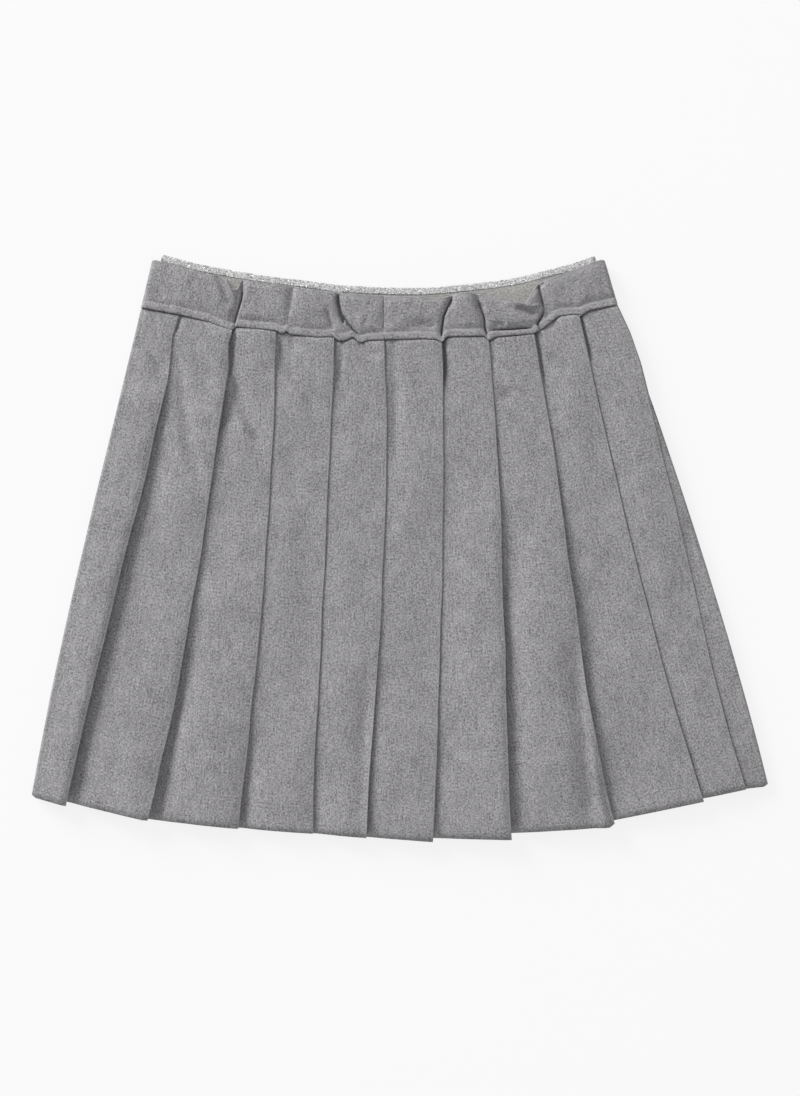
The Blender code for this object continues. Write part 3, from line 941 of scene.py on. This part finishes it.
# %% [markdown]
# The puffs between the gathers are half waves, each with its own height. The sharp creases are drawn
# on top with the crease helper: they're the darkest lines of the band. The seam ridge is a rounded
# bar four millimetres tall, steep below and soft above, with a faint groove over it.

# %% The band's relief
Gather = namedtuple("Gather", "top_x foot_x puff")
GATHERS = (
    Gather(-153.1, -160.0, 0.9),
    Gather(-99.0, -103.5, 1.5),
    Gather(-66.0, -70.1, 1.0),
    Gather(-38.4, -30.0, 1.8),
    Gather(-10.0, -10.0, 1.5),
    Gather(31.0, 26.0, 1.2),
    Gather(48.0, 53.0, 1.9),
    Gather(85.6, 86.0, 1.3),
    Gather(140.0, 148.0, 0.0),
)
BAND_CREASES = (
    Crease(
        ((-97.0, 165.2), (-97.4, 154.8), (-99.2, 148.6), (-101.4, 141.5), (-102.9, 132.0)),
        4.0, 0.6, 2.4, 0.8,
    ),
    Crease(
        ((-97.4, 156.8), (-97.6, 153.4), (-99.2, 148.6), (-101.4, 141.5), (-102.9, 132.0)),
        0.7, 0.6, 4.6, 0.6,
    ),
    Crease(((-96.6, 166.0), (-96.8, 160.0), (-97.4, 154.8)), 1.6, 2.0, 2.2, 1.0),
    Crease(((-111.5, 166.5), (-108.0, 158.0), (-104.0, 146.0)), 2.4, 2.4, 1.8, 0.8),
    Crease(((-107.9, 150.4), (-102.9, 146.0)), 1.2, 1.2, -1.0, 0.2),
    Crease(
        ((-107.0, 165.0), (-104.4, 159.9), (-102.4, 158.9), (-100.6, 159.0), (-98.7, 162.5)),
        0.6, 0.6, -1.1, 1.0,
    ),
    Crease(((-66.0, 161.5), (-67.8, 152.2), (-68.6, 143.0)), 2.6, 2.2, 1.1, 0.9),
    Crease(
        ((-38.3, 155.4), (-38.1, 150.8), (-36.8, 145.9), (-35.2, 141.9), (-34.9, 137.0)),
        1.0, 0.9, 6.6, 1.0,
    ),
    Crease(((-38.3, 155.4), (-36.8, 145.9), (-35.0, 138.4)), 2.8, 0.9, 1.2, 0.6),
    Crease(
        ((-34.5, 142.8), (-31.4, 138.0), (-28.8, 134.9), (-25.7, 131.8), (-23.9, 130.0)),
        0.6, 0.5, 3.6, 0.8,
    ),
    Crease(((-34.5, 142.8), (-31.4, 138.0), (-28.8, 134.9), (-25.0, 130.0)), 3.0, 0.8, 1.4, 0.8),
    Crease(((-45.3, 148.5), (-43.4, 142.0), (-40.4, 134.0)), 2.2, 1.4, 2.4, 0.3),
    Crease(((-10.2, 152.6), (-10.2, 133.2)), 0.5, 0.5, 0.45, 0.8),
    Crease(((-20.6, 143.0), (-22.6, 133.5)), 1.8, 1.8, 0.7, 0.2),
    Crease(((3.3, 136.2), (14.0, 137.4), (25.8, 136.2)), 1.8, 3.6, 1.4, 0.3),
    Crease(((18.0, 137.4), (21.6, 136.8)), 1.0, 1.0, 0.7, 0.3),
    Crease(
        ((32.6, 155.8), (29.2, 148.1), (27.0, 142.8), (25.9, 134.9), (25.7, 127.0)),
        2.2, 0.6, 1.4, 0.8,
    ),
    Crease(
        ((31.9, 153.0), (29.2, 148.1), (27.0, 142.8), (25.9, 134.9), (25.7, 127.0)),
        0.75, 0.65, 5.2, 0.7,
    ),
    Crease(((33.0, 156.4), (31.5, 151.5), (29.5, 148.0)), 2.0, 1.8, 2.6, 0.9),
    Crease(((46.8, 158.0), (48.5, 152.5), (51.2, 146.0)), 2.4, 1.8, 3.0, 0.9),
    Crease(((49.2, 151.0), (52.3, 142.4), (52.7, 136.2), (54.5, 128.1)), 0.7, 0.6, 4.6, 0.5),
    Crease(((49.2, 151.0), (52.3, 142.4), (52.7, 136.2), (54.5, 128.1)), 3.0, 0.7, 1.4, 0.6),
    Crease(((57.8, 134.5), (69.4, 134.8), (75.6, 135.3), (84.4, 135.8)), 0.6, 0.9, 5.4, 0.4),
    Crease(((57.5, 137.0), (61.5, 138.4), (66.0, 137.4)), 1.6, 1.8, 1.8, 0.5),
    Crease(((70.0, 149.6), (78.0, 146.9), (86.0, 143.5)), 2.6, 1.3, 3.0, 0.2),
    Crease(((72.1, 151.8), (77.5, 150.2), (81.0, 148.9), (88.2, 149.9)), 0.8, 0.9, -1.3, 0.5),
    Crease(
        ((85.9, 164.0), (86.4, 160.9), (87.2, 156.6), (88.6, 149.5), (89.0, 145.4)),
        1.4, 0.7, 3.6, 0.9,
    ),
    Crease(
        ((89.0, 147.0), (87.6, 142.9), (85.0, 138.8), (86.8, 134.6), (85.4, 131.0)),
        0.9, 0.8, 5.6, 0.5,
    ),
    Crease(((88.8, 151.5), (91.0, 147.0), (89.5, 141.0)), 1.4, 2.8, 2.2, 0.5),
    Crease(((85.6, 160.5), (90.8, 165.6)), 1.0, 1.5, 2.0, 1.0),
    Crease(((-150.9, 160.4), (-145.5, 153.2)), 0.9, 2.0, 1.0, 0.3),
)
RIDGE_TALL, RIDGE_LIFT, RIDGE_STEEP = 4.0, 1.0, 0.6
RIDGE_SHOULDER, SHOULDER_WIDE = 2.6, 2.4
GROOVE_DEEP, GROOVE_WIDE, GROOVE_UP = 0.18, 0.6, 0.3
PUFF_FROM, PUFF_EASE = 3.5, 5.0
TOP_FROM, TOP_EASE, TOP_PUFF = 0.85, 0.15, 0.45
FOOT_CREASES = 0.4
BAND_WAVES = ((16.0, 1.0), (6.0, 0.3))
FOOT_STEPS = (0.0, 0.25, 0.6, 1.1, 1.8, 2.4, 2.9, 3.3, 3.7, 4.0, 4.3, 4.6, 5.0, 5.5, 6.2)


def puffs(x, up):
    """The half waves between the gathers, for points that are a share of the way up the band."""
    height = np.zeros_like(x)
    for a, b in zip(GATHERS, GATHERS[1:]):
        left = mix(a.foot_x, a.top_x, up)
        right = mix(b.foot_x, b.top_x, up)
        share = np.clip((x - left) / (right - left), 0, 1)
        height += a.puff * np.sin(math.pi * share) ** 0.5
    return height


def ridge(above):
    """The seam ridge, by height above the seam: steep at its foot, soft and grooved above."""
    rise = np.clip(above / RIDGE_STEEP, 0, 1)
    shoulder = 1 - smooth((above - RIDGE_SHOULDER) / SHOULDER_WIDE)
    groove = np.exp(-(((above - RIDGE_TALL - GROOVE_UP) / GROOVE_WIDE) ** 2))
    return RIDGE_LIFT * np.sqrt(rise * (2 - rise)) * shoulder - GROOVE_DEEP * groove


# %% Make the band
def ring_shares(front_spans, back_spans, turn_spans):
    """For each column of a flattened ring: share across, sideways turn, share of the front."""
    quarter = np.linspace(0, math.pi, turn_spans + 1)
    across = [
        np.linspace(0, 1, front_spans + 1),
        np.ones(turn_spans),
        np.linspace(1, 0, back_spans + 1)[1:],
        np.zeros(turn_spans),
    ]
    turn = [
        np.zeros(front_spans + 1),
        np.sin(quarter[1:]),
        np.zeros(back_spans),
        -np.sin(quarter[1:]),
    ]
    front = [
        np.ones(front_spans + 1),
        (1 + np.cos(quarter[1:])) / 2,
        np.zeros(back_spans),
        (1 - np.cos(quarter[1:])) / 2,
    ]
    return np.concatenate(across), np.concatenate(turn), np.concatenate(front)


across, turn, front = ring_shares(front_spans=760, back_spans=110, turn_spans=8)
top_x = mix(BAND_TOP[0].x + BAND_TURN, BAND_TOP[-1].x - BAND_TURN, across)
foot_x = mix(SEAM[0].x + BAND_TURN, SEAM[-1].x - BAND_TURN, across)
foot_y = seam_y(foot_x + BAND_TURN * turn, front) + SEAM_GAP / 2
corner = BACK_CORNER_DROP * (1 - smooth(np.minimum(across, 1 - across) / BACK_CORNER_SHARE))
back_top_y = rounded_line(ELASTIC_TOP, top_x, BACK_SOFT) - BACK_BAND_DROP - corner
top_y = mix(back_top_y, rounded_line(BAND_TOP, top_x, BAND_SOFT), front)
UPPER_STEPS = 30
above = [np.full_like(foot_y, step) for step in FOOT_STEPS]
for step in range(1, UPPER_STEPS + 1):
    above.append(mix(FOOT_STEPS[-1], top_y - foot_y, step / UPPER_STEPS))
above = np.stack(above[::-1])
up = above / (top_y - foot_y)
band_x = mix(foot_x, top_x, up)
band_y = foot_y + above
relief = puffs(band_x, up) * smooth((above - PUFF_FROM) / PUFF_EASE)
relief *= mix(1.0, TOP_PUFF, smooth((up - TOP_FROM) / TOP_EASE))
pressed_down = press_creases(band_x, band_y, BAND_CREASES)
relief += ridge(above) - pressed_down * mix(FOOT_CREASES, 1.0, smooth(above - RIDGE_SHOULDER))
relief += unevenness(band_x, band_y, BAND_WAVES, seed=9.0)
band_level = mix(BAND_FOOT_Z, BAND_FRONT_Z, smooth((above - RIDGE_TALL) / BAND_CLIMB))
band_z = mix(BAND_BACK_Z, np.maximum(band_level + relief, BAND_LEAST_Z), front)
band_places = np.stack([band_x + BAND_TURN * turn, band_y, band_z], axis=2)
band_threads = np.stack([lengths(band_places, 1), -lengths(band_places, 0)], axis=2)
band = cloth_sheet("band_cloth", band_places, band_threads, BAND_FLANNEL, BAND_WALL, closed=True)
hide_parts("waistband")

# %% [markdown]
# ## The elastic and its glitter edge
# Above the dip of the front, the inside of the back shows: a smooth beige elastic with a silver
# glitter edge. The elastic is another flattened ring inside the band, finely ribbed along its length.
# The glitter edge is woven with silver film. It's a strip of its own, a little proud of the elastic.

# %% Elastic and glitter materials
def elastic_material():
    """Smooth woven elastic: fine ribs along its length."""
    material, tree, shader = new_material(
        "elastic_weave", {"Roughness": 0.7, "Specular IOR Level": 0.3}
    )
    cloth = add(tree, "ShaderNodeUVMap", uv_map="cloth").outputs[0]
    links = [("Vector", cloth), ("Scale", 300.0), ("Distortion", 2.5), ("Detail", 2.0)]
    ribs = add(tree, "ShaderNodeTexWave", links, wave_type="BANDS", bands_direction="X")
    flecks = add(tree, "ShaderNodeTexNoise", [("Vector", cloth), ("Scale", 800.0), ("Detail", 2.0)])
    links = [(0, 0.85), (2, ribs.outputs[1]), (3, flecks.outputs[0])]
    weave = add(tree, "ShaderNodeMix", links, data_type="FLOAT").outputs[0]
    colour = blended(tree, weave, (0.02, 0.02, 0.015, 1), (0.70, 0.69, 0.67, 1))
    dressed(tree, shader, colour, weave, 0.4, 0.0003)
    return material


def glitter_material():
    """Silver film woven in: each cell of a fine pattern has its own tilt and brightness."""
    material, tree, shader = new_material("silver_glitter", {"Roughness": 0.32})
    cloth = add(tree, "ShaderNodeUVMap", uv_map="cloth").outputs[0]
    cells = add(tree, "ShaderNodeTexVoronoi", [("Vector", cloth), ("Scale", 1600.0)])
    cell = add(tree, "ShaderNodeSeparateColor", [(0, cells.outputs["Color"])])
    ramp = add(tree, "ShaderNodeValToRGB", [(0, cell.outputs[0])])
    dull, bright = ramp.color_ramp.elements
    dull.position = 0.05
    dull.color = (0.3, 0.3, 0.303, 1)
    bright.position = 0.85
    bright.color = (0.76, 0.76, 0.76, 1)
    metal = maths(tree, "GREATER_THAN", cell.outputs[2], 0.8)
    tree.links.new(metal, shader.inputs["Metallic"])
    dressed(tree, shader, ramp.outputs[0], cell.outputs[1], 0.55, 0.0004)
    return material


ELASTIC_WEAVE = elastic_material()
SILVER_GLITTER = glitter_material()
print("finishes:", ELASTIC_WEAVE.name, SILVER_GLITTER.name)

# %% Make the elastic
e_across, e_turn, e_front = ring_shares(front_spans=130, back_spans=150, turn_spans=8)
e_top_x = mix(BAND_TOP[0].x + ELASTIC_INSET, BAND_TOP[-1].x - ELASTIC_INSET, e_across)
e_foot_x = mix(SEAM[0].x + ELASTIC_INSET, SEAM[-1].x - ELASTIC_INSET, e_across)
e_rim = rounded_line(BAND_TOP, e_top_x, RIM_SOFT) + RIM
e_top_y = mix(rounded_line(ELASTIC_TOP, e_top_x, ELASTIC_SOFT), e_rim, e_front)
e_foot_y = seam_y(e_foot_x, e_front) + ELASTIC_FOOT
ELASTIC_ROWS = 14
e_down = np.linspace(0, 1, ELASTIC_ROWS + 1)[:, None]
e_x = mix(e_top_x, e_foot_x, e_down) + ELASTIC_TURN * e_turn
e_y = mix(e_top_y, e_foot_y, e_down)
e_z = np.broadcast_to(mix(ELASTIC_BACK_Z, ELASTIC_FRONT_Z, e_front), e_y.shape)
elastic_places = np.stack([e_x, e_y, e_z], axis=2)
elastic_threads = np.stack([lengths(elastic_places, 1), -lengths(elastic_places, 0)], axis=2)
elastic = cloth_sheet(
    "elastic_weave", elastic_places, elastic_threads, ELASTIC_WEAVE, ELASTIC_WALL, closed=True
)
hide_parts("waist_elastic")

# %% Make the glitter edge
GLITTER_TALL, GLITTER_WALL, GLITTER_GAP = 4.4, 0.12, 0.03
GLITTER_IN, GLITTER_PROUD = 0.3, 0.2
GLITTER_COLUMNS, GLITTER_ROWS = 260, 6
g_x = mix(ELASTIC_TOP[0].x, ELASTIC_TOP[-1].x, np.linspace(0, 1, GLITTER_COLUMNS + 1)) - GLITTER_IN
g_top = rounded_line(ELASTIC_TOP, g_x, ELASTIC_SOFT) + GLITTER_PROUD
g_down = np.linspace(0, 1, GLITTER_ROWS + 1)[:, None]
g_y = g_top - GLITTER_TALL * g_down
g_z = ELASTIC_BACK_Z + (ELASTIC_WALL + GLITTER_WALL) / 2 + GLITTER_GAP
glitter_places = np.stack([g_x - GLITTER_IN * g_down, g_y, np.full_like(g_y, g_z)], axis=2)
glitter_threads = np.stack([lengths(glitter_places, 1), -lengths(glitter_places, 0)], axis=2)
glitter = cloth_sheet("glitter_edge", glitter_places, glitter_threads, SILVER_GLITTER, GLITTER_WALL)
